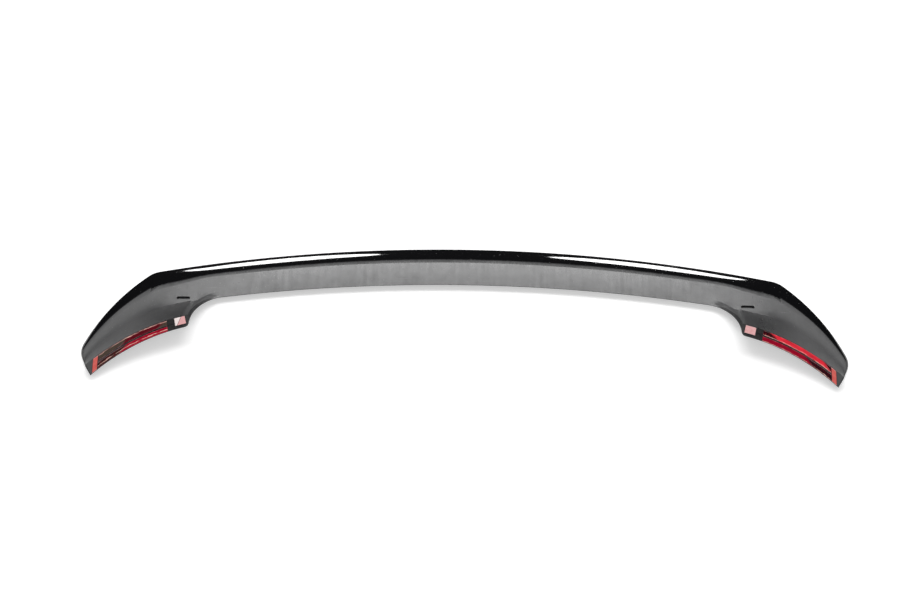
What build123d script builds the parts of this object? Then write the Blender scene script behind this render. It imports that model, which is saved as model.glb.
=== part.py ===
# Car boot spoiler lying on its painted top, with the underside and the two taped feet facing up.
# Millimetres and degrees. X runs along the span, +Y to the rear of the car, +Z up from the floor.
# The origin is on the floor under the middle of the part. The right half is drawn and mirrored.
import os
from math import asin, ceil, cos, radians, sin, sqrt, tan

from build123d import *

# Plan outline
DEPTH = 262.5
HALF_SPAN = 677.0
TRAILING_RADIUS = 2850.0
CORNER_INSET = 117.0
CORNER_ROUNDING = 45.0
SIDE_RADIUS = 350.0
SHOULDER_BEHIND_TIP = 52.0
SHOULDER_ROUNDING = 34.0
END_LENGTH = 25.0
LEADING_RADIUS = 3000.0
WING_CHORD = 78.5

# Cross-section of the wing
BEVEL_RUN = 28.0
BEVEL_RUN_CORNER = 35.0
BEVEL_CORNER_REACH = 110.0
BEVEL_RUN_END = 7.0
BEVEL_HEIGHT = 14.5
BEVEL_HEIGHT_TIP = 6.0
BEVEL_EDGE = 6.0
BEVEL_CROWN_SHARE = 0.025
TRAILING_EDGE = 3.0
FRONT_EDGE_WIDTH = 1.5
FRONT_EDGE_HEIGHT = 4.0

# Feet: flat faces, tilted to the front and swept round a centre ahead of them. The insets run
# along the span from the widest place of the part.
FOOT_TILT = 21.2
SWEEP_INSET = 285.0
FOOT_FRONT_RADIUS = 382.0
FOOT_WIDTH = 21.0
FOOT_INNER_INSET = 197.0
FOOT_TIP_INSET = 27.0
FOOT_TIP_HEIGHT = 12.0
FACE_CLEARANCE = 8.0

# Roundings at the two ends of the foot's inner end, as shares of its length
FLARE_SHARE = 0.92
FOOT_CORNER_SHARE = 0.12

# Where the wall of the foot starts, as a share of the way from the ridge to the flat face: in the
# wing, at the foot's inner end and at its tip. The fold there is crisp near the inner end only.
WALL_START_WING = 0.9
WALL_START = 0.5
WALL_START_TIP = 0.45
FOLD_REACH = 0.4

# Slot at the root of each foot
SLOT_INSET = 20.0
SLOT_BEHIND_ROOT = 5.6
SLOT_LENGTH = 24.0
SLOT_WIDTH = 6.0
SLOT_BOTTOM = 9.0

# Double-sided tape and its release film
TAPE_THICKNESS = 1.2
FILM_THICKNESS = 0.2
TAPE_MARGIN = 1.4
TAPE_GAP = 2.4
PAD_GAP = 1.5
INNER_PAD_LENGTH = 20.0
INNER_PAD_WIDTH = 13.0
OUTER_PAD_LENGTH = 11.0
BARE_TAPE = 13.0
TIP_MARGIN = 7.0
TIP_SKEW = 3.0

# Derived places
REAR_Y = DEPTH / 2
FRONT_Y = -DEPTH / 2
SHOULDER_Y = FRONT_Y + SHOULDER_BEHIND_TIP
CORNER_X = HALF_SPAN - CORNER_INSET
CORNER_Y = REAR_Y - TRAILING_RADIUS + sqrt(TRAILING_RADIUS**2 - CORNER_X**2)
SWEEP_X = HALF_SPAN - SWEEP_INSET
FOOT_INNER_X = HALF_SPAN - FOOT_INNER_INSET
FOOT_TIP_X = HALF_SPAN - FOOT_TIP_INSET
TILT = radians(FOOT_TILT)
FOOT_REAR_RADIUS = FOOT_FRONT_RADIUS + FOOT_WIDTH
INNER_ANGLE = asin((FOOT_INNER_X - SWEEP_X) / FOOT_FRONT_RADIUS)
TIP_ANGLE = asin((FOOT_TIP_X - SWEEP_X) / FOOT_FRONT_RADIUS)
TIP_REACH = FOOT_FRONT_RADIUS * cos(TIP_ANGLE)
SWEEP_Y = FRONT_Y - TIP_REACH * cos(TILT)
SWEEP_HEIGHT = FOOT_TIP_HEIGHT - TIP_REACH * sin(TILT)


def blend(start, end, share):
    return start + (end - start) * share


def clamped(share):
    return min(max(share, 0.0), 1.0)


def ease(share):
    share = clamped(share)
    return share * share * (3 - 2 * share)


def arc_drop(radius, x):
    """How far an arc centred on the middle of the part has come forward at x."""
    return radius - sqrt(radius**2 - x**2)


def leading_edge(x):
    return Vector(x, REAR_Y - WING_CHORD - arc_drop(LEADING_RADIUS, x))


def on_sweep(radius, angle):
    """Plan place of a point of the foot plane at a radius and angle about the sweep centre."""
    return Vector(SWEEP_X + radius * sin(angle), SWEEP_Y + radius * cos(angle) * cos(TILT))


def foot_height(place):
    return FOOT_TIP_HEIGHT + (place.Y - FRONT_Y) * tan(TILT)


def rounded(outline, corners):
    """The outline with a rounding at each (place, radius)."""
    for place, radius in corners:
        vertex = outline.vertices().sort_by_distance(place)[0]
        outline = outline.fillet_2d(radius, [vertex])
    return outline


def rear_outline():
    """Trailing edge from the middle, round the corner, along the side and round the shoulder."""
    corner = Vector(CORNER_X, CORNER_Y)
    shoulder = Vector(HALF_SPAN, SHOULDER_Y)
    tip = on_sweep(FOOT_FRONT_RADIUS, TIP_ANGLE)
    outline = Wire(
        [
            RadiusArc((0, REAR_Y), corner, TRAILING_RADIUS),
            RadiusArc(corner, shoulder, SIDE_RADIUS),
            Line(shoulder, shoulder + (tip - shoulder).normalized() * END_LENGTH),
        ]
    )
    return rounded(outline, [(corner, CORNER_ROUNDING), (shoulder, SHOULDER_ROUNDING)])


def front_outline():
    """Leading edge from the middle, flared into the inner end and front edge of the foot."""
    root = leading_edge(FOOT_INNER_X)
    angles = (INNER_ANGLE, (INNER_ANGLE + TIP_ANGLE) / 2, TIP_ANGLE)
    sweep = [on_sweep(FOOT_FRONT_RADIUS, angle) for angle in angles]
    outline = Wire(
        [
            RadiusArc(leading_edge(0), root, LEADING_RADIUS),
            Line(root, sweep[0]),
            ThreePointArc(*sweep),
        ]
    )
    inner_end = (root - sweep[0]).length
    corners = [(root, FLARE_SHARE * inner_end), (sweep[0], FOOT_CORNER_SHARE * inner_end)]
    return rounded(outline, corners)


REAR = rear_outline()
FRONT = front_outline()
FLARE_END = min(v.Y for v in FRONT.vertices() if abs(v.X - FOOT_INNER_X) < 0.001)
FLARE_GROWTH = leading_edge(FOOT_INNER_X).Y - FLARE_END


def foot_growth(front):
    """How far the foot has grown out of the wing at a place of the front outline, 0 to 1."""
    if front.X >= FOOT_INNER_X:
        return 1.0
    return clamped((leading_edge(front.X).Y - front.Y) / FLARE_GROWTH)


def width_of_face(rear, front):
    """Length of a section's cut across the flat face, from the front edge backwards."""
    way = (rear - front).normalized()
    u, v = front.X - SWEEP_X, (front.Y - SWEEP_Y) / cos(TILT)
    du, dv = way.X, way.Y / cos(TILT)
    a, b, c = du**2 + dv**2, u * du + v * dv, u**2 + v**2 - FOOT_REAR_RADIUS**2
    return (sqrt(b**2 - a * c) - b) / a


def straight(start, end):
    return [start, blend(start, end, 1 / 3), blend(start, end, 2 / 3), end]


def crowned(start, end, share):
    """A run that bulges outwards in its middle by a share of its length."""
    first, second = blend(start, end, 1 / 3), blend(start, end, 2 / 3)
    outwards = Vector(start.Y - end.Y, end.X - start.X) * share * 4 / 3
    return [start, first + outwards, second + outwards, end]


def round_off(start, corner, end):
    return [start, blend(start, corner, 0.6), blend(end, corner, 0.6), end]


def fold(start, corner, end, crisp):
    """Two runs that meet in a crisp corner, or in a broad rounding where crisp is 0."""
    middle = (start + corner * 6 + end) / 8
    soft = [
        [start, blend(start, corner, 1 / 2), blend(start, corner, 3 / 4), middle],
        [middle, blend(end, corner, 3 / 4), blend(end, corner, 1 / 2), end],
    ]
    sharp = [straight(start, corner), straight(corner, end)]
    return [[blend(*pair, crisp) for pair in zip(*runs)] for runs in zip(soft, sharp)]


def section(rear, front):
    """Control points of one cross-section, each as (distance from the rear outline, height)."""
    chord = (front - rear).length
    grown = foot_growth(front)
    outward = max(0.0, (front.X - FOOT_INNER_X) / (FOOT_TIP_X - FOOT_INNER_X))

    # Bevelled rear face, from the trailing edge on the floor up to the ridge, narrowing along the side
    near_corner = ease(1 - abs(rear.X - CORNER_X) / BEVEL_CORNER_REACH)
    along_side = clamped((CORNER_Y - rear.Y) / (CORNER_Y - SHOULDER_Y)) if rear.X > CORNER_X else 0.0
    run = blend(BEVEL_RUN, BEVEL_RUN_CORNER, near_corner)
    run = blend(run, BEVEL_RUN_END, along_side)
    ridge = Vector(run, blend(BEVEL_HEIGHT, BEVEL_HEIGHT_TIP, ease(outward)))
    tail = Vector(0, 0)

    # Flat face of the foot, which is the last of the underside where there is no foot
    foot_front = front if grown == 1 else Vector(FOOT_INNER_X, FLARE_END)
    foot_rear = rear if grown == 1 else Vector(FOOT_INNER_X, REAR_Y)
    face_width = min(width_of_face(foot_rear, foot_front), chord - run - FACE_CLEARANCE)
    backwards = (foot_rear - foot_front).normalized()
    heel_height = foot_height(foot_front + backwards * face_width)
    lip_height = foot_height(foot_front + backwards * FRONT_EDGE_WIDTH)
    heel = Vector(
        chord - blend(3 * FRONT_EDGE_WIDTH, face_width, grown),
        blend(BEVEL_HEIGHT, heel_height, grown),
    )
    lip = Vector(chord - FRONT_EDGE_WIDTH, blend(BEVEL_HEIGHT, lip_height, grown))
    chin = lip - Vector(1.4 * FRONT_EDGE_WIDTH, FRONT_EDGE_HEIGHT)

    # Underside: flat under the wing and up to the wall behind the foot
    wall_start = blend(WALL_START, WALL_START_TIP, outward)
    wall_start = blend(WALL_START_WING, wall_start, grown)
    toe = Vector(blend(ridge.X, heel.X, wall_start), ridge.Y)
    crisp = ease(2 * grown) * ease(1 - outward / FOLD_REACH)

    # Roundings of the trailing edge and of the ridge
    trailing_edge = min(TRAILING_EDGE, 0.25 * ridge.length)
    ridge_edge = min(BEVEL_EDGE, 0.35 * ridge.length, 0.5 * (toe.X - ridge.X))
    floor_end = Vector(trailing_edge, 0)
    bevel_start = blend(tail, ridge, trailing_edge / ridge.length)
    bevel_end = blend(ridge, tail, ridge_edge / ridge.length)
    under_start = ridge + Vector(ridge_edge, 0)

    # Rounded front edge and the painted top, which lies nearest the floor
    brow = lip + Vector(FRONT_EDGE_WIDTH, -0.4 * FRONT_EDGE_WIDTH)
    jaw = chin + Vector(FRONT_EDGE_WIDTH, 0.8 * FRONT_EDGE_WIDTH)
    throat = Vector(
        chin.X - chord / 3,
        chin.Y * blend(0.6, blend(0.05, 0.4, outward), grown),
    )
    belly = Vector(0.4 * chord, 0)

    return [
        crowned(bevel_start, bevel_end, BEVEL_CROWN_SHARE),
        round_off(bevel_end, ridge, under_start),
        *fold(under_start, toe, heel, crisp),
        straight(heel, lip),
        [lip, brow, jaw, chin],
        [chin, throat, belly, floor_end],
        round_off(floor_end, tail, bevel_start),
    ]


def section_wire(rear_length, front_length, side=1):
    """One cross-section in place, at distances along the rear and front outlines."""
    rear = REAR.position_at(rear_length, position_mode=PositionMode.LENGTH)
    front = FRONT.position_at(front_length, position_mode=PositionMode.LENGTH)
    way = (front - rear).normalized()
    edges = []
    for points in section(rear, front):
        places = [rear + way * point.X + Vector(0, 0, point.Y) for point in points]
        edges.append(Bezier(*[(side * place.X, place.Y, place.Z) for place in places]))
    return Wire(edges)


def piece_ends(outline):
    """Distances along an outline at which its lines and arcs end."""
    ends = []
    for edge in outline.order_edges():
        ends.append((ends[-1] if ends else 0.0) + edge.length)
    return ends


# Distances along the rear and front outlines that belong to one section: end of the wing, inner
# end of the foot, rear corner, shoulder, tip
trailing_end, corner_end, side_end, *_ = piece_ends(REAR)
leading_end, _, wall_end, foot_corner_end, sweep_end = piece_ends(FRONT)
corner = (trailing_end + corner_end) / 2
WING_END = 0.9 * leading_end
WING_MARK = (WING_END, WING_END)
INNER_MARK = (blend(WING_END, corner, 0.62), wall_end)
CORNER_MARK = (corner, blend(foot_corner_end, sweep_end, 0.2))
SHOULDER_MARK = (side_end, blend(foot_corner_end, sweep_end, 0.87))
TIP_MARK = (REAR.length, blend(foot_corner_end, sweep_end, 0.985))
WING_SECTIONS = 10
SECTION_SPACING = 8.0


def loft_along(*marks):
    """A loft through evenly spaced sections from mark to mark."""
    wires = []
    for (rear, front), (next_rear, next_front) in zip(marks, marks[1:]):
        count = ceil(max(next_rear - rear, next_front - front) / SECTION_SPACING)
        for step in range(count):
            share = step / count
            wires.append(section_wire(blend(rear, next_rear, share), blend(front, next_front, share)))
    wires.append(section_wire(*marks[-1]))
    return Solid.make_loft(wires)


def wing_loft():
    wires = []
    for step in range(WING_SECTIONS + 1):
        length = blend(-WING_END, WING_END, step / WING_SECTIONS)
        wires.append(section_wire(abs(length), abs(length), 1 if length >= 0 else -1))
    return Solid.make_loft(wires)


def foot_plane(height):
    """The plane of the feet, or one above it, with its origin at the sweep centre."""
    up = Vector(0, -sin(TILT), cos(TILT))
    origin = Vector(SWEEP_X, SWEEP_Y, SWEEP_HEIGHT) + up * height
    return Plane(origin=origin, x_dir=(1, 0, 0), z_dir=up)


def slot():
    root = leading_edge(FOOT_INNER_X)
    centre = (root.X + SLOT_INSET, root.Y + SLOT_BEHIND_ROOT, SLOT_BOTTOM)
    return Pos(*centre) * extrude(SlotOverall(SLOT_LENGTH, SLOT_WIDTH), BEVEL_HEIGHT)


def spoiler_body():
    flare = loft_along(WING_MARK, INNER_MARK)
    foot = loft_along(INNER_MARK, CORNER_MARK, SHOULDER_MARK, TIP_MARK)
    right_end = flare + foot - slot()
    return wing_loft() + right_end + mirror(right_end, about=Plane.YZ)


def across_foot(radius, angle):
    """The angle at a radius, for an edge across the foot that slants more towards the tip."""
    share = (angle - INNER_ANGLE) / (TIP_ANGLE - INNER_ANGLE)
    return angle - radians(TIP_SKEW) * share * (radius - FOOT_FRONT_RADIUS) / FOOT_WIDTH


def band(inner_radius, outer_radius, start, end, height, thickness):
    """A flat curved strip on the right foot between two angles, standing on a height above it."""
    corners = []
    for radius in (inner_radius, outer_radius):
        first, last = across_foot(radius, start), across_foot(radius, end)
        angles = (first, (first + last) / 2, last)
        corners.append([(radius * sin(angle), radius * cos(angle)) for angle in angles])
    inner, outer = corners[0], corners[1][::-1]
    outline = Wire(
        [
            ThreePointArc(*inner),
            Line(inner[2], outer[0]),
            ThreePointArc(*outer),
            Line(outer[2], inner[0]),
        ]
    )
    return extrude(foot_plane(height) * Face(outline), thickness)


def tape_pieces():
    """Name, radii and angles of each piece of tape on the right foot, and where its film starts."""
    front = FOOT_FRONT_RADIUS + TAPE_MARGIN
    rear = FOOT_REAR_RADIUS - TAPE_MARGIN
    middle = (front + rear) / 2
    per_mm = 1 / middle
    pad_start = INNER_ANGLE + 2 * TAPE_MARGIN * per_mm
    pad_end = pad_start + INNER_PAD_LENGTH * per_mm
    outer_end = TIP_ANGLE - TIP_MARGIN * per_mm
    outer_start = outer_end - OUTER_PAD_LENGTH * per_mm
    start = pad_end + PAD_GAP * per_mm
    end = outer_start - PAD_GAP * per_mm
    film_start = start + BARE_TAPE * per_mm
    return [
        ("inner_pad", rear - INNER_PAD_WIDTH, rear, pad_start, pad_end, pad_start),
        ("front_tape", front, middle - TAPE_GAP / 2, start, end, film_start),
        ("rear_tape", middle + TAPE_GAP / 2, rear, start, end, film_start),
        ("outer_pad", front, rear, outer_start, outer_end, outer_start),
    ]


parts = {"spoiler_body": spoiler_body()}
for name, *radii, start, end, film_start in tape_pieces():
    tape = band(*radii, start, end, 0, TAPE_THICKNESS)
    film = band(*radii, film_start, end, TAPE_THICKNESS, FILM_THICKNESS)
    film_name = name.replace("_tape", "") + "_liner"
    for part_name, solid in ((name, tape), (film_name, film)):
        parts["right_" + part_name] = solid
        parts["left_" + part_name] = mirror(solid, about=Plane.YZ)

# Centred front to back, on what the rounded edges have left of the outline
offset = Pos(0, -parts["spoiler_body"].bounding_box().center().Y, 0)
os.makedirs("parts", exist_ok=True)
for name, part in parts.items():
    solid = (offset * part).solids()[0]
    solid.label = name
    export_step(solid, f"parts/{name}.step")
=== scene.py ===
from math import asin, atan, cos, radians, sin, sqrt

import bpy
from mathutils import Matrix, Vector, noise


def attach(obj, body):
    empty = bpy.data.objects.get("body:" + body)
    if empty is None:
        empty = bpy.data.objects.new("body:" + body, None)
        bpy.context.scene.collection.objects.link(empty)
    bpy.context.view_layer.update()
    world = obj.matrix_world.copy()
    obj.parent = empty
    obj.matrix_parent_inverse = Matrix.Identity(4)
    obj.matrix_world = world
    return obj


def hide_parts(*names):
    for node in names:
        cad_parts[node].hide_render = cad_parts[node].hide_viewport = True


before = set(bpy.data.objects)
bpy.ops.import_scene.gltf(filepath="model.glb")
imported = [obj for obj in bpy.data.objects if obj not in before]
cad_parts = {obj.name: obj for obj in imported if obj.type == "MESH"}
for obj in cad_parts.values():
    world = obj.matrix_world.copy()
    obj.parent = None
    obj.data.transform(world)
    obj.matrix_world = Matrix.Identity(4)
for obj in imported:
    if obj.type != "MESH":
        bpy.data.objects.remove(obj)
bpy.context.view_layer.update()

# Camera, in metres and degrees
VIEW_ELEVATION = 66.95
VIEW_DISTANCE = 2.587
VIEW_WIDTH_ANGLE = 35.0
VIEW_ROLL = 0.75
VIEW_TURN = 0.2
VIEW_TARGET = Vector((-0.0095, 0.0133, 0.01))

# Outline of the moulding in plan, in metres, as the solid has it
REAR_Y = 0.1307
DEPTH = 0.2625
HALF_SPAN = 0.677
TRAILING_RADIUS = 2.85
CORNER_X = 0.560
SIDE_RADIUS = 0.350
SIDE_REACH = 0.20
SHOULDER_SETBACK = 0.052
TIP_X = 0.650
WING_CHORD = 0.0785

# Bevelled rear face, in metres: its run in plan along the wing, at the corners and at the outer ends, its
# height, the rounded edges beside it, and its crown as a share of its width
BEVEL_RUN = 0.028
BEVEL_RUN_CORNER = 0.035
BEVEL_CORNER_REACH = 0.110
BEVEL_RUN_END = 0.007
BEVEL_HEIGHT = 0.0145
BEVEL_EDGE = 0.006
TRAILING_EDGE = 0.003
BEVEL_CROWN_SHARE = 0.025

# Where the even normal of the crown fades out, in metres: beside the trailing edge, beside the ridge, and
# from and to these distances before the corner
TRAILING_FADE = 0.0004
RIDGE_FADE = 0.0008
CORNER_FADE_START = 0.045
CORNER_FADE_END = 0.020

# Paint: the share of the bevel that it covers, its width at the outer ends and its soft edge in metres,
# and the upward part of a surface's normal where the paint of the top is full and where it ends
PAINTED_SHARE = 0.99
PAINTED_END = 0.0025
OVERSPRAY = 0.0022
PAINT_FULL_FACING = -0.35
PAINT_LAST_FACING = -0.20
PAINT_ROUGHNESS = 0.045
PAINT_COLOUR = (0.004, 0.004, 0.0045)
PAINT_DUST_COLOUR = (0.10, 0.10, 0.10)

# Bare plastic: roughness and colours, of which the tip colour is painted light for the paler shading of
# the outer feet, and the moulding's index of refraction
PLASTIC_ROUGHNESS = 0.31
PLASTIC_COLOUR = (0.023, 0.023, 0.024)
BLOOM_COLOUR = (0.034, 0.034, 0.035)
MOTTLE_COLOUR = (0.016, 0.016, 0.017)
TIP_PAINTED_LIGHT_COLOUR = (0.080, 0.080, 0.081)
SCUFF_COLOUR = (0.12, 0.12, 0.12)
SPECK_COLOUR = (0.26, 0.26, 0.25)
MOULDING_IOR = 1.58

# Zones of the bare plastic by distance from the middle of the span, in metres, each soft border from and
# to; the normal's upward part in the folds; and the share of the chord at which the wing's grade is nil
WING_END = (0.34, 0.46)
FOLD_START = (0.400, 0.435)
FOLD_END = (0.475, 0.495)
FOLD_FACING = (0.92, 0.99)
TIP_START = (0.53, 0.60)
WING_EVEN_SHARE = 0.45

# Foot plane and its tape, in metres and degrees
FOOT_TILT = 21.2
SWEEP_X = 0.392
FRONT_RADIUS = 0.382
FOOT_WIDTH = 0.021
FOOT_INNER_X = 0.480
FOOT_TIP_HEIGHT = 0.012
TAPE_THICKNESS = 0.0012
FILM_THICKNESS = 0.0002
TAPE_MARGIN = 0.0014
TAPE_GAP = 0.0024
PAD_GAP = 0.0015
INNER_PAD_LENGTH = 0.020
INNER_PAD_WIDTH = 0.013
OUTER_PAD_LENGTH = 0.011
BARE_TAPE = 0.013
TIP_MARGIN = 0.007
TIP_SKEW = 3.0

# Release film: height of its waves, of its loose parts and of its lifted edges, in metres, and the
# slant and length of the places where it leaves the foam, as shares of its length
FILM_WAVE = 0.00018
FILM_LIFT = 0.0011
FILM_EDGE_LIFT = 0.0007
FILM_SLANT = 0.06
FILM_PEEL = 0.07

# Loose part of a film: shares of its lift in the middle, by its tilt across and by its waves
LOOSE_MIDDLE = 0.5
LOOSE_TILT = 0.4
LOOSE_WAVE = 0.4

# Pattern of a film's waves: how many for each metre along it, across half its width and for each metre
# along its edges, how closely a lift keeps to the edge, how far it reaches in from the ends in metres,
# and the steps between the patterns of two films, of a film and its edges and of its two edges
WAVES_ALONG = 60.0
WAVES_ACROSS = 0.6
EDGE_WAVES = 45.0
EDGE_POWER = 5
END_REACH = 0.004
FILM_SEED_STEP = 3.7
EDGE_SEED_STEP = 9.5
EDGES_APART = 3.0

# Mesh of a film: cells across it, which are also the fewest along it, and the length of a cell in metres
FILM_CELLS = 12
FILM_STEP = 0.0012

# Foam
FOAM_COLOUR = (0.004, 0.004, 0.004)
FOAM_WORN_COLOUR = (0.013, 0.011, 0.011)

# Looks of the long films: colours where they are stuck, and where they are raised, painted brighter there
# for light shining through them; and where their painted highlight line lies across them
LONG_FILMS = {
    "film_crimson": dict(stuck=(0.026, 0.004, 0.007), raised=(0.36, 0.002, 0.022), highlight_across=-0.85),
    "film_bright": dict(stuck=(0.024, 0.003, 0.005), raised=(0.86, 0.030, 0.050), highlight_across=-0.80),
    "film_mid_highlight": dict(stuck=(0.034, 0.012, 0.011), raised=(0.42, 0.002, 0.024), highlight_across=-0.10),
    "film_maroon": dict(stuck=(0.070, 0.052, 0.040), raised=(0.13, 0.004, 0.011), highlight_across=0.75),
}
# Painted highlight line along each long film, and its pale edges, partly the film's own cut edge and
# partly painted highlight
FILM_PAINTED_HIGHLIGHT_COLOUR = (0.90, 0.54, 0.46)
FILM_EDGE_AND_HIGHLIGHT_COLOUR = (0.70, 0.30, 0.32)

# Looks of the films on the pads
PAD_FILMS = {
    "pad_salmon": dict(pale=(0.66, 0.13, 0.11), deep=(0.58, 0.085, 0.075)),
    "pad_pale": dict(pale=(0.76, 0.43, 0.43), deep=(0.68, 0.34, 0.34)),
}
PAD_WORN_COLOUR = (0.80, 0.62, 0.60)

# Folded pad: colours before and beyond the fold, of its streaks and of the painted shade in the fold; the
# fold's line, by steps for each metre along and for half the width across, its place in steps, and its
# softness
FOLDED_PALE_COLOUR = (0.72, 0.38, 0.38)
FOLDED_TAB_COLOUR = (0.84, 0.74, 0.72)
FOLDED_STREAK_COLOUR = (0.50, 0.22, 0.22)
FOLD_PAINTED_SHADE_COLOUR = (0.10, 0.05, 0.05)
FOLDED_STEPS_ALONG = 110.0
FOLDED_STEPS_ACROSS = 0.55
FOLDED_PLACE = 1.3
FOLDED_SOFTNESS = 0.1

# Look of each film, and the shares of its length between which it is loose
NOWHERE = (2.0, 2.0)
FILM_CHOICES = {
    "right_inner_pad_liner": ("pad_pale", NOWHERE),
    "right_front_liner": ("film_crimson", (-0.5, 0.66)),
    "right_rear_liner": ("film_bright", (0.16, 0.95)),
    "right_outer_pad_liner": ("pad_salmon", NOWHERE),
    "left_inner_pad_liner": ("pad_folded", NOWHERE),
    "left_front_liner": ("film_mid_highlight", (-0.5, 0.62)),
    "left_rear_liner": ("film_maroon", (0.08, 0.60)),
    "left_outer_pad_liner": ("pad_salmon", NOWHERE),
}

# Pale floor and world, in metres, with the light that they give and how bright they are when seen
WHITE = (1.0, 1.0, 1.0)
FLOOR_COLOUR = (0.80, 0.80, 0.80)
FLOOR_REACH = 12.0
FLOOR_LEVEL = -0.0003
FLOOR_GLOW = 0.32
WORLD_LIGHT = 0.40
WORLD_SEEN = 1.0

# Dark cards, in metres and degrees
CARD_COLOUR = (0.006, 0.006, 0.006)
CARD_REACH = 2.8
REAR_CARD_HALF_ANGLE = 115.0
REAR_CARD_STEPS = 36
REAR_CARD_LEVELS = (-0.01, 2.0)
FLOOR_CARD_HALF_WIDTH = 0.67
FLOOR_CARD_FRONT_Y = -0.02
FLOOR_CARD_LEVEL = -0.0001
HIGH_CARD_REAR_Y = 0.3
HIGH_CARD_LEVEL = 3.2

# Lamps: place, the place that they face and size in metres, power in watts
OVERHEAD = dict(place=(0.0, 1.0, 2.3), target=(0.0, 0.05, 0.0), size=(1.9, 0.9), power=37.0)
FRONT_FILL = dict(place=(0.0, -1.6, 2.0), target=(0.0, -0.05, 0.0), size=(2.4, 1.0), power=16.0)
STRIP = dict(place=(0.715, 2.1, 0.37), target=(0.36, 0.1, 0.0), size=(0.77, 0.37), power=14.0)
SIDE_BOX = dict(place=(1.40, 1.0, 2.3), target=(0.45, 0.05, 0.0), size=(0.85, 0.9), power=4.5)

# Derived places
TRAILING_CENTRE = Vector((0, REAR_Y - TRAILING_RADIUS))
CORNER_Y = REAR_Y - TRAILING_RADIUS + sqrt(TRAILING_RADIUS**2 - CORNER_X**2)
CORNER = Vector((CORNER_X, CORNER_Y))
SHOULDER = Vector((HALF_SPAN, REAR_Y - DEPTH + SHOULDER_SETBACK))
TIP = Vector((TIP_X, REAR_Y - DEPTH))
TILT = radians(FOOT_TILT)
FOOT_ALONG = Vector((0, cos(TILT), sin(TILT)))
FOOT_UP = Vector((0, -sin(TILT), cos(TILT)))
TIP_ANGLE = asin((TIP.x - SWEEP_X) / FRONT_RADIUS)
INNER_ANGLE = asin((FOOT_INNER_X - SWEEP_X) / FRONT_RADIUS)
TIP_REACH = FRONT_RADIUS * cos(TIP_ANGLE)
SWEEP_Y = TIP.y - TIP_REACH * cos(TILT)
SWEEP_Z = FOOT_TIP_HEIGHT - TIP_REACH * sin(TILT)
SWEEP_CENTRE = Vector((SWEEP_X, SWEEP_Y, SWEEP_Z))


class Nodes:
    """The nodes of a material or world, with short ways to add more to them."""

    def __init__(self, owner, shader="Principled BSDF"):
        owner.use_nodes = True
        self.owner = owner
        self.tree = owner.node_tree
        self.shader = self.tree.nodes[shader]

    def feed(self, socket, value):
        if isinstance(value, bpy.types.NodeSocket):
            self.tree.links.new(value, socket)
        else:
            socket.default_value = (*value, 1.0) if socket.type == "RGBA" else value

    def add(self, kind, inputs, **settings):
        node = self.tree.nodes.new("ShaderNode" + kind)
        for key, value in settings.items():
            setattr(node, key, value)
        for key, value in inputs.items():
            self.feed(node.inputs[key], value)
        return node

    def shade(self, **inputs):
        """Sets inputs of the shader; an underscore stands for a space."""
        for key, value in inputs.items():
            self.feed(self.shader.inputs[key.replace("_", " ")], value)

    def math(self, operation, *values):
        return self.add("Math", dict(enumerate(values)), operation=operation).outputs[0]

    def total(self, start, *weighted):
        """A start value plus other values, each times its weight."""
        total = start
        for value, weight in weighted:
            total = self.math("ADD", total, self.math("MULTIPLY", value, weight))
        return total

    def centred(self, pattern):
        """A pattern from 0 to 1, moved to vary about 0."""
        return self.math("SUBTRACT", pattern, 0.5)

    def scaled(self, value, from_min, from_max, to_min=0.0, to_max=1.0):
        """A value mapped from one range to another, with soft ends."""
        inputs = {0: value, 1: from_min, 2: from_max, 3: to_min, 4: to_max}
        return self.add("MapRange", inputs, interpolation_type="SMOOTHSTEP").outputs[0]

    def falling(self, value, from_min, from_max):
        """1 below a range and 0 above it, with soft ends."""
        return self.scaled(value, from_min, from_max, 1.0, 0.0)

    def mixed(self, share, first, second):
        """A colour between two others."""
        node = self.add("Mix", {0: share, 6: first, 7: second}, data_type="RGBA")
        return node.outputs[2]

    def over(self, under, share, weight, tint):
        """A colour with a tint laid over it, by a share times a weight."""
        return self.mixed(self.math("MULTIPLY", share, weight), under, tint)

    def between(self, share, first, second):
        """A number between two others."""
        inputs = {0: share, 2: first, 3: second}
        return self.add("Mix", inputs, data_type="FLOAT").outputs[0]

    def noise(self, coordinates, scale, detail=3.0, roughness=0.5):
        """Noise from 0 to 1, of one scale or of a scale for each axis."""
        if isinstance(scale, tuple):
            inputs = {0: coordinates, 1: scale}
            coordinates = self.add("VectorMath", inputs, operation="MULTIPLY").outputs[0]
            scale = 1.0
        inputs = {"Vector": coordinates, "Scale": scale, "Detail": detail, "Roughness": roughness}
        return self.add("TexNoise", inputs).outputs["Fac"]

    def bump(self, height, strength, distance, normal=None):
        inputs = {"Height": height, "Strength": strength, "Distance": distance}
        if normal is not None:
            inputs["Normal"] = normal
        return self.add("Bump", inputs).outputs[0]


def new_material(name):
    return Nodes(bpy.data.materials.new(name))


def ease(share):
    """A share from 0 to 1 with soft ends."""
    share = min(max(share, 0.0), 1.0)
    return share * share * (3 - 2 * share)


def deeper(tint, shares):
    return tuple(part * share for part, share in zip(tint, shares))


# Black moulding: gloss paint on the bevel, sides and top, bare satin plastic on the underside
def arc_inset(n, x, y, centre, radius):
    """How far a place lies inside a circle, in plan."""
    across = n.math("POWER", n.math("SUBTRACT", x, centre.x), 2.0)
    along = n.math("POWER", n.math("SUBTRACT", y, centre.y), 2.0)
    return n.math("SUBTRACT", radius, n.math("SQRT", n.math("ADD", across, along)))


def side_centre():
    """Centre of the arc from a rear corner to the shoulder."""
    chord = SHOULDER - CORNER
    inwards = Vector((chord.y, -chord.x)).normalized()
    return (CORNER + SHOULDER) / 2 + inwards * sqrt(SIDE_RADIUS**2 - chord.length_squared / 4)


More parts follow.
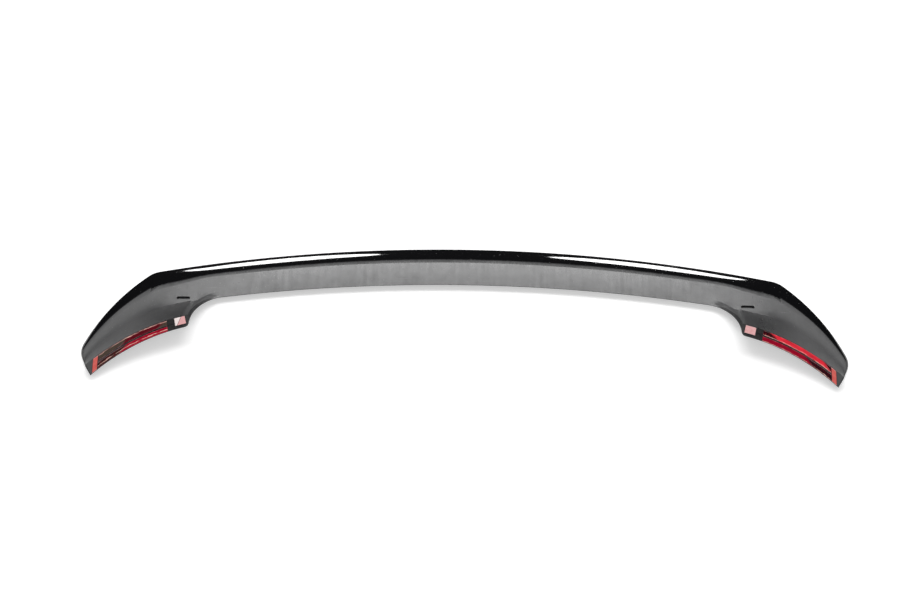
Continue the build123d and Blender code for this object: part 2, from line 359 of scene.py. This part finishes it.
class Plan:
    """Where a place of the moulding lies in plan, and how it faces, as node outputs."""

    def __init__(self, n, coordinates):
        self.span, self.y, _ = n.add("SeparateXYZ", {0: coordinates}).outputs
        self.x = n.math("ABSOLUTE", self.span)
        self.normal = n.add("NewGeometry", {}).outputs["Normal"]
        self.facing = n.add("SeparateXYZ", {0: self.normal}).outputs[2]

        # Distance inside the outline: the trailing edge, the side arc near its own end of the span, and
        # the outer end, where the paint is narrower than the bevel
        self.trailing = arc_inset(n, self.x, self.y, TRAILING_CENTRE, TRAILING_RADIUS)
        side = arc_inset(n, self.x, self.y, side_centre(), SIDE_RADIUS)
        side = n.math("MAXIMUM", side, n.math("SUBTRACT", CORNER_X - SIDE_REACH, self.x))
        end = (TIP - SHOULDER).normalized()
        end_inset = n.total(
            BEVEL_RUN_END * PAINTED_SHARE - PAINTED_END,
            (n.math("SUBTRACT", self.x, SHOULDER.x), end.y),
            (n.math("SUBTRACT", self.y, SHOULDER.y), -end.x),
        )
        self.inset = n.math("MINIMUM", n.math("MINIMUM", self.trailing, side), end_inset)

        # Run of the bevel: wider at the corner, narrower from there to the shoulder
        from_corner = n.math("ABSOLUTE", n.math("SUBTRACT", self.x, CORNER_X))
        self.wing_run = n.scaled(from_corner, 0.0, BEVEL_CORNER_REACH, BEVEL_RUN_CORNER, BEVEL_RUN)
        along_side = n.add("MapRange", {0: self.y, 1: CORNER.y, 2: SHOULDER.y}).outputs[0]
        narrowed = n.math("MULTIPLY", n.math("GREATER_THAN", self.x, CORNER_X), along_side)
        self.run = n.between(narrowed, self.wing_run, BEVEL_RUN_END)


def painted_share(n, plan):
    """1 where the moulding is painted, 0 where the plastic is bare."""
    painted_run = n.math("MULTIPLY", plan.run, PAINTED_SHARE)
    bevel = n.scaled(n.math("SUBTRACT", painted_run, plan.inset), -OVERSPRAY, OVERSPRAY)
    top = n.falling(plan.facing, PAINT_FULL_FACING, PAINT_LAST_FACING)
    return n.math("MAXIMUM", bevel, top)


def bevel_normal(n, plan):
    """The surface normal, with the even crown of the bevel along the wing."""
    slope = n.math("ARCTAN2", BEVEL_HEIGHT, plan.wing_run)
    level = n.math("COSINE", slope)
    first = n.math("MULTIPLY", level, TRAILING_EDGE)
    last = n.math("SUBTRACT", plan.wing_run, n.math("MULTIPLY", level, BEVEL_EDGE))
    # From its middle to either edge, a shallow arc turns by four times its share of rise
    crown = atan(4 * BEVEL_CROWN_SHARE)
    turn = n.add("MapRange", {0: plan.trailing, 1: first, 2: last, 3: crown, 4: -crown}).outputs[0]
    tilt = n.math("ADD", slope, turn)
    outward = n.math("DIVIDE", n.math("SINE", tilt), n.math("SUBTRACT", TRAILING_RADIUS, plan.trailing))
    from_centre = n.math("SUBTRACT", plan.y, TRAILING_CENTRE.y)
    crowned = {
        0: n.math("MULTIPLY", plan.span, outward),
        1: n.math("MULTIPLY", from_centre, outward),
        2: n.math("COSINE", tilt),
    }
    even = n.add("CombineXYZ", crowned).outputs[0]

    past_edge = n.scaled(n.math("SUBTRACT", plan.trailing, first), -TRAILING_FADE, TRAILING_FADE)
    before_ridge = n.scaled(n.math("SUBTRACT", last, plan.trailing), -RIDGE_FADE, RIDGE_FADE)
    on_wing = n.falling(plan.x, CORNER_X - CORNER_FADE_START, CORNER_X - CORNER_FADE_END)
    share = n.math("MULTIPLY", n.math("MULTIPLY", past_edge, before_ridge), on_wing)
    share = n.math("MULTIPLY", share, n.math("GREATER_THAN", plan.facing, 0.0))
    mixed = n.add("Mix", {0: share, 4: plan.normal, 5: even}, data_type="VECTOR").outputs[1]
    return n.add("VectorMath", {0: mixed}, operation="NORMALIZE").outputs[0]


def bare_plastic(n, plan, here):
    """Colour and roughness of the bare plastic."""
    # Cloudy bloom, mottle, wiping marks front to back, long light scuffs along the span and dust specks
    cloud = n.noise(here, 9.0, detail=4.0, roughness=0.6)
    mottle = n.noise(here, 70.0, roughness=0.6)
    wiped = n.noise(here, (170.0, 9.0, 9.0), detail=4.0, roughness=0.6)
    rubbed = n.noise(here, (12.0, 130.0, 130.0), detail=5.0, roughness=0.65)
    scuffs = n.scaled(rubbed, 0.62, 0.74)
    specks = n.scaled(n.noise(here, 420.0, detail=2.0), 0.70, 0.76)

    # Painted lighter shading and more roughness towards the tips, and on the wing smoother beside the
    # bevel than at the front edge
    tip = n.scaled(plan.x, *TIP_START)
    grade = n.math("SUBTRACT", n.scaled(plan.trailing, BEVEL_RUN, WING_CHORD), WING_EVEN_SHARE)
    grade = n.math("MULTIPLY", grade, n.falling(plan.x, *WING_END))

    # Coarser grain in the fold where the wing's front edge rises into a foot
    fold = n.math("MULTIPLY", n.scaled(plan.x, *FOLD_START), n.falling(plan.x, *FOLD_END))
    fold = n.math("MULTIPLY", fold, n.falling(plan.facing, *FOLD_FACING))

    tint = n.mixed(n.scaled(cloud, 0.3, 0.7), PLASTIC_COLOUR, BLOOM_COLOUR)
    tint = n.mixed(n.scaled(mottle, 0.35, 0.75, 0.0, 0.5), tint, MOTTLE_COLOUR)
    # Painted light: the outer feet are made paler for their lighter shading
    tint = n.over(tint, tip, 0.55, TIP_PAINTED_LIGHT_COLOUR)
    tint = n.over(tint, scuffs, 0.35, SCUFF_COLOUR)
    tint = n.over(tint, specks, 0.45, SPECK_COLOUR)
    rough = n.total(
        PLASTIC_ROUGHNESS,
        (n.centred(mottle), 0.10),
        (n.centred(wiped), 0.16),
        (n.centred(cloud), 0.12),
        (scuffs, 0.06),
        (grade, 0.11),
        (tip, 0.20),
        (fold, 0.32),
    )
    return tint, rough


def gloss_paint(n, here):
    """Colour and roughness of the paint: near black, with a few dust specks."""
    dust = n.scaled(n.noise(here, 330.0, detail=1.0), 0.745, 0.78)
    return n.over(PAINT_COLOUR, dust, 0.5, PAINT_DUST_COLOUR), n.total(PAINT_ROUGHNESS, (dust, 0.3))


def moulding_material():
    n = new_material("black_moulding_paint_and_plastic")
    here = n.add("TexCoord", {}).outputs["Object"]
    plan = Plan(n, here)
    paint = painted_share(n, plan)
    bare_tint, bare_rough = bare_plastic(n, plan, here)
    gloss_tint, gloss_rough = gloss_paint(n, here)

    # Fine grain and faint flow marks of the moulding, on the bare plastic alone
    unpainted = n.math("SUBTRACT", 1.0, paint)
    grain = n.noise(here, 1500.0, detail=2.0)
    flow = n.noise(here, (20.0, 45.0, 45.0), detail=2.0)
    normal = n.bump(grain, n.math("MULTIPLY", unpainted, 0.10), 0.0002, bevel_normal(n, plan))
    n.shade(
        Base_Color=n.mixed(paint, bare_tint, gloss_tint),
        Roughness=n.between(paint, bare_rough, gloss_rough),
        IOR=MOULDING_IOR,
        Normal=n.bump(flow, n.math("MULTIPLY", unpainted, 0.12), 0.002, normal),
    )
    return n.owner


# Black foam of the tape
def foam_material():
    n = new_material("black_foam")
    here = n.add("TexCoord", {}).outputs["Object"]
    cells = n.add("TexVoronoi", {"Vector": here, "Scale": 2600.0}).outputs["Distance"]
    worn = n.scaled(n.noise(here, 160.0), 0.4, 0.8)
    n.shade(
        Base_Color=n.mixed(worn, FOAM_COLOUR, FOAM_WORN_COLOUR),
        Roughness=0.78,
        Normal=n.bump(cells, 0.5, 0.0003),
    )
    return n.owner


# Release film: its own coordinates run along it in metres and across it from -1 to 1
def film_material(name, stuck, raised, highlight_across):
    """Thin shiny red plastic, dark where it lies on the foam, painted brighter where raised for light
    shining through it, with pale edges that are partly painted highlight, and one painted highlight line
    along it.
    """
    n = new_material(name)
    strip = n.add("TexCoord", {}).outputs["UV"]
    across = n.add("SeparateXYZ", {0: strip}).outputs[1]
    off_foam = n.add("Attribute", {}, attribute_name="raised").outputs["Fac"]
    wander = n.noise(strip, (90.0, 1.5, 0.0))
    streak = n.noise(strip, (45.0, 5.0, 0.0), detail=4.0, roughness=0.6)
    ripple = n.noise(strip, (300.0, 1.2, 0.0), roughness=0.6)

    deep = deeper(raised, (0.55, 0.5, 0.6))
    bright = n.mixed(n.scaled(streak, 0.35, 0.65), deep, raised)
    dark = n.mixed(n.scaled(ripple, 0.5, 0.75, 0.0, 0.6), stuck, deep)
    # Where raised, the film is painted brighter for light shining through it
    body = n.mixed(off_foam, dark, bright)

    # A painted highlight line along the film, at its place across it
    off_highlight = n.math("SUBTRACT", n.math("ADD", across, n.centred(wander)), highlight_across)
    line = n.falling(n.math("ABSOLUTE", off_highlight), 0.05, 0.18)
    line = n.math("MULTIPLY", line, n.scaled(streak, 0.38, 0.55))
    body = n.over(body, line, 0.85, FILM_PAINTED_HIGHLIGHT_COLOUR)
    # Pale edges: partly the film's own cut edge, partly painted highlight where the edges catch the light
    edge_and_highlight = n.scaled(n.total(n.math("ABSOLUTE", across), (wander, 0.30)), 1.08, 1.18)
    n.shade(
        Base_Color=n.over(body, edge_and_highlight, 0.7, FILM_EDGE_AND_HIGHLIGHT_COLOUR),
        Roughness=0.16,
        IOR=1.55,
        Normal=n.bump(ripple, 0.30, 0.0008),
    )
    return n.owner


def pad_material(name, pale, deep):
    """Film of a pad: paler and matter, with fine lines across it and worn edges."""
    n = new_material(name)
    strip = n.add("TexCoord", {}).outputs["UV"]
    across = n.add("SeparateXYZ", {0: strip}).outputs[1]
    lines = n.noise(strip, (700.0, 0.8, 0.0))
    blotch = n.noise(strip, (120.0, 1.5, 0.0))
    body = n.mixed(n.scaled(blotch, 0.35, 0.7), pale, deep)
    body = n.mixed(n.scaled(lines, 0.45, 0.75, 0.0, 0.4), body, deeper(deep, (0.75, 0.6, 0.6)))
    worn = n.scaled(n.total(n.math("ABSOLUTE", across), (blotch, 0.2)), 0.98, 1.1)
    n.shade(
        Base_Color=n.over(body, worn, 0.6, PAD_WORN_COLOUR),
        Roughness=0.34,
        Normal=n.bump(lines, 0.2, 0.0004),
    )
    return n.owner


def folded_material(name):
    """Film of a pad that has been folded once across its corner, with painted shade along the fold."""
    n = new_material(name)
    strip = n.add("TexCoord", {}).outputs["UV"]
    along, across, _ = n.add("SeparateXYZ", {0: strip}).outputs
    steps = n.total(n.math("MULTIPLY", along, FOLDED_STEPS_ALONG), (across, FOLDED_STEPS_ACROSS))
    off_fold = n.math("SUBTRACT", steps, FOLDED_PLACE)
    beyond = n.scaled(off_fold, -FOLDED_SOFTNESS, FOLDED_SOFTNESS)
    line = n.falling(n.math("ABSOLUTE", off_fold), 0.3 * FOLDED_SOFTNESS, FOLDED_SOFTNESS)
    streak = n.noise(strip, (220.0, 3.0, 0.0))
    body = n.mixed(beyond, FOLDED_PALE_COLOUR, FOLDED_TAB_COLOUR)
    body = n.mixed(n.scaled(streak, 0.5, 0.8, 0.0, 0.25), body, FOLDED_STREAK_COLOUR)
    n.shade(
        # The dark line along the fold is painted shade
        Base_Color=n.over(body, line, 0.85, FOLD_PAINTED_SHADE_COLOUR),
        Roughness=0.32,
        Normal=n.bump(streak, 0.2, 0.0005),
    )
    return n.owner


def add_grid(name, lines, material, flip=True):
    """A new mesh object of quads between lines of places, each line with the same number of places."""
    width = len(lines[0])
    faces = []
    for line in range(len(lines) - 1):
        for place in range(width - 1):
            corner = line * width + place
            quad = (corner, corner + width, corner + width + 1, corner + 1)
            faces.append(quad[::-1] if flip else quad)
    mesh = bpy.data.meshes.new(name)
    mesh.from_pydata([place for line in lines for place in line], [], faces)
    mesh.materials.append(material)
    piece = bpy.data.objects.new(name, mesh)
    bpy.context.scene.collection.objects.link(piece)
    return piece


def on_foot(side, radius, angle, height):
    """Place on a foot at a radius and angle about its sweep centre and a height above its plane."""
    place = SWEEP_CENTRE + FOOT_ALONG * (radius * cos(angle)) + FOOT_UP * height
    return Vector((side * (place.x + radius * sin(angle)), place.y, place.z))


def across_foot(radius, angle):
    """The angle at a radius, for an edge across the foot that slants more towards the tip."""
    share = (angle - INNER_ANGLE) / (TIP_ANGLE - INNER_ANGLE)
    return angle - radians(TIP_SKEW) * share * (radius - FRONT_RADIUS) / FOOT_WIDTH


def loose_share(along, loose):
    """1 where a film is loose and 0 where it is stuck, by its share of the length, with soft ends."""
    begun = ease((along - loose[0]) / FILM_PEEL + 0.5)
    left = ease((loose[1] - along) / FILM_PEEL + 0.5)
    return begun * left


def film_height(run, across, from_end, off_foam, seed):
    """Height of a film above the foam: waves, lifted edges, the loose part and lifted ends."""
    wave = noise.noise((run * WAVES_ALONG, across * WAVES_ACROSS, seed))
    edge_row = EDGES_APART if across > 0 else -EDGES_APART
    edge = max(0.0, noise.noise((run * EDGE_WAVES, edge_row, seed + EDGE_SEED_STEP)))
    height = FILM_WAVE * (1 + wave) + FILM_EDGE_LIFT * edge * abs(across) ** EDGE_POWER
    height += off_foam * FILM_LIFT * (LOOSE_MIDDLE - LOOSE_TILT * across + LOOSE_WAVE * wave)
    return height + FILM_WAVE * max(0.0, 1 - from_end / END_REACH)


def film_piece(node, side, radii, start, end, material, seed, loose):
    """A sheet of film in place of the plain one, waved, and raised off the foam where it is loose."""
    inner, outer = radii
    middle = (inner + outer) / 2
    length = (end - start) * middle
    columns = max(FILM_CELLS, round(length / FILM_STEP))
    lines = []
    uvs = []
    raised = []
    for column in range(columns + 1):
        share = column / columns
        run = share * length
        from_end = min(share, 1 - share) * length
        line = []
        for row in range(FILM_CELLS + 1):
            across = 2 * row / FILM_CELLS - 1
            radius = middle + across * (outer - inner) / 2
            first = across_foot(radius, start)
            angle = first + (across_foot(radius, end) - first) * share
            off_foam = loose_share(share + FILM_SLANT * across, loose)
            height = film_height(run, across, from_end, off_foam, seed)
            line.append(on_foot(side, radius, angle, TAPE_THICKNESS + FILM_THICKNESS / 2 + height))
            uvs.append((run, across))
            raised.append(off_foam)
        lines.append(line)
    piece = add_grid(node + "_film", lines, material, flip=side > 0)
    mesh = piece.data
    mesh.shade_smooth()
    mesh.attributes.new("raised", "FLOAT", "POINT").data.foreach_set("value", raised)
    layer = mesh.uv_layers.new(name="strip")
    for loop in mesh.loops:
        layer.data[loop.index].uv = uvs[loop.vertex_index]
    thick = piece.modifiers.new("thickness", "SOLIDIFY")
    thick.thickness = FILM_THICKNESS
    thick.offset = 0.0
    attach(piece, "root")
    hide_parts(node)
    return piece


def tape_places():
    """Radii and angles of each film on a foot, by name."""
    front = FRONT_RADIUS + TAPE_MARGIN
    rear = FRONT_RADIUS + FOOT_WIDTH - TAPE_MARGIN
    middle = (front + rear) / 2
    pad_start = INNER_ANGLE + 2 * TAPE_MARGIN / middle
    pad_end = pad_start + INNER_PAD_LENGTH / middle
    outer_end = TIP_ANGLE - TIP_MARGIN / middle
    outer_start = outer_end - OUTER_PAD_LENGTH / middle
    start = pad_end + (PAD_GAP + BARE_TAPE) / middle
    end = outer_start - PAD_GAP / middle
    return {
        "inner_pad_liner": ((rear - INNER_PAD_WIDTH, rear), pad_start, pad_end),
        "front_liner": ((front, middle - TAPE_GAP / 2), start, end),
        "rear_liner": ((middle + TAPE_GAP / 2, rear), start, end),
        "outer_pad_liner": ((front, rear), outer_start, outer_end),
    }


def dress_films():
    """Puts a waved film with its own look in place of each plain one."""
    looks = {name: film_material(name, **colours) for name, colours in LONG_FILMS.items()}
    looks |= {name: pad_material(name, **colours) for name, colours in PAD_FILMS.items()}
    looks["pad_folded"] = folded_material("pad_folded")
    places = tape_places()
    for count, (node, (look, loose)) in enumerate(FILM_CHOICES.items()):
        side_name, name = node.split("_", 1)
        side = 1 if side_name == "right" else -1
        piece = film_piece(node, side, *places[name], looks[look], FILM_SEED_STEP * count, loose)


def dress_solids():
    """Gives the moulding and the foam their materials and even shading; films take the liners' place."""
    moulding = moulding_material()
    foam = foam_material()
    for name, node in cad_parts.items():
        if not name.endswith("_liner"):
            node.data.materials.clear()
            node.data.materials.append(moulding if name == "spoiler_body" else foam)
            node.modifiers.new("even_normals", "WEIGHTED_NORMAL")


# Studio
def seen_ray(n):
    """1 for rays that show the floor or world: from the camera, in a mirror or through glass."""
    ray = n.add("LightPath", {}).outputs
    seen = n.math("MAXIMUM", ray["Is Camera Ray"], ray["Is Glossy Ray"])
    return n.math("MAXIMUM", seen, ray["Is Transmission Ray"])


def level_sheet(half_width, front, rear, level):
    """Two lines of places at the ends of a flat sheet."""
    return [[(x, y, level) for x in (-half_width, half_width)] for y in (front, rear)]


def pale_floor():
    """A pale sheet. Camera and mirror rays see it a little brighter, so that it goes white."""
    n = new_material("white_floor")
    n.shade(
        Base_Color=FLOOR_COLOUR,
        Roughness=1.0,
        Specular_IOR_Level=0.0,
        Emission_Color=WHITE,
        Emission_Strength=n.math("MULTIPLY", seen_ray(n), FLOOR_GLOW),
    )
    floor = add_grid("floor", level_sheet(FLOOR_REACH, -FLOOR_REACH, FLOOR_REACH, FLOOR_LEVEL), n.owner)


def dark_card(name, lines):
    """A black card through lines of places, which only mirror-like surfaces see."""
    n = new_material(name)
    n.shade(Base_Color=CARD_COLOUR, Roughness=1.0, Specular_IOR_Level=0.0)
    card = add_grid(name, lines, n.owner)
    card.visible_camera = False
    card.visible_diffuse = False
    card.visible_shadow = False


def dark_cards():
    """Cards behind and beside the part, on the floor behind it and high over its front."""
    half_angle = radians(REAR_CARD_HALF_ANGLE)
    angles = [half_angle * (2 * step / REAR_CARD_STEPS - 1) for step in range(REAR_CARD_STEPS + 1)]
    arc = [(CARD_REACH * sin(angle), CARD_REACH * cos(angle)) for angle in angles]
    dark_card("rear_card", [[(x, y, level) for x, y in arc] for level in REAR_CARD_LEVELS])
    on_floor = level_sheet(FLOOR_CARD_HALF_WIDTH, FLOOR_CARD_FRONT_Y, CARD_REACH, FLOOR_CARD_LEVEL)
    dark_card("floor_card", on_floor)
    dark_card("high_card", level_sheet(CARD_REACH, -CARD_REACH, HIGH_CARD_REAR_Y, HIGH_CARD_LEVEL))


def facing(way):
    """The rotation that points a lamp or camera along a direction."""
    return way.to_track_quat("-Z", "Y").to_matrix().to_4x4()


def softbox(name, place, target, size, power, side=1, shape="RECTANGLE"):
    """An area light at a place, facing a target, mirrored to the left where side is -1."""
    light = bpy.data.lights.new(name, "AREA")
    light.shape = shape
    light.size, light.size_y = size
    light.energy = power
    lamp = bpy.data.objects.new(name, light)
    mirror = Vector((side, 1, 1))
    stand = Vector(place) * mirror
    way = (Vector(target) * mirror - stand).normalized()
    lamp.matrix_world = Matrix.Translation(stand) @ facing(way)
    bpy.context.scene.collection.objects.link(lamp)
    return lamp


def light_scene():
    """A dim white world that is bright where it is seen, and lamps; mirrors don't see the front fill."""
    n = Nodes(bpy.data.worlds.new("studio"), "Background")
    strength = n.add("MapRange", {0: seen_ray(n), 3: WORLD_LIGHT, 4: WORLD_SEEN}).outputs[0]
    n.shade(Color=WHITE, Strength=strength)
    bpy.context.scene.world = n.owner

    softbox("overhead", **OVERHEAD)
    fill = softbox("front_fill", **FRONT_FILL)
    fill.visible_glossy = False
    for side in (-1, 1):
        softbox("strip", **STRIP, side=side, shape="ELLIPSE")
        softbox("side_box", **SIDE_BOX, side=side)


def place_camera():
    elevation = radians(VIEW_ELEVATION)
    back = Vector((0, -cos(elevation), sin(elevation)))
    camera = bpy.data.cameras.new("camera")
    camera.sensor_fit = "HORIZONTAL"
    camera.angle = radians(VIEW_WIDTH_ANGLE)
    eye = bpy.data.objects.new("camera", camera)
    roll = Matrix.Rotation(radians(VIEW_ROLL), 4, "Z")
    turn = Matrix.Rotation(radians(VIEW_TURN), 4, "Z")
    stand = Matrix.Translation(VIEW_TARGET + back * VIEW_DISTANCE)
    eye.matrix_world = turn @ stand @ facing(-back) @ roll
    bpy.context.scene.collection.objects.link(eye)
    bpy.context.scene.camera = eye


dress_solids()
dress_films()
pale_floor()
dark_cards()
light_scene()
place_camera()
bpy.context.scene.view_settings.view_transform = "Standard"
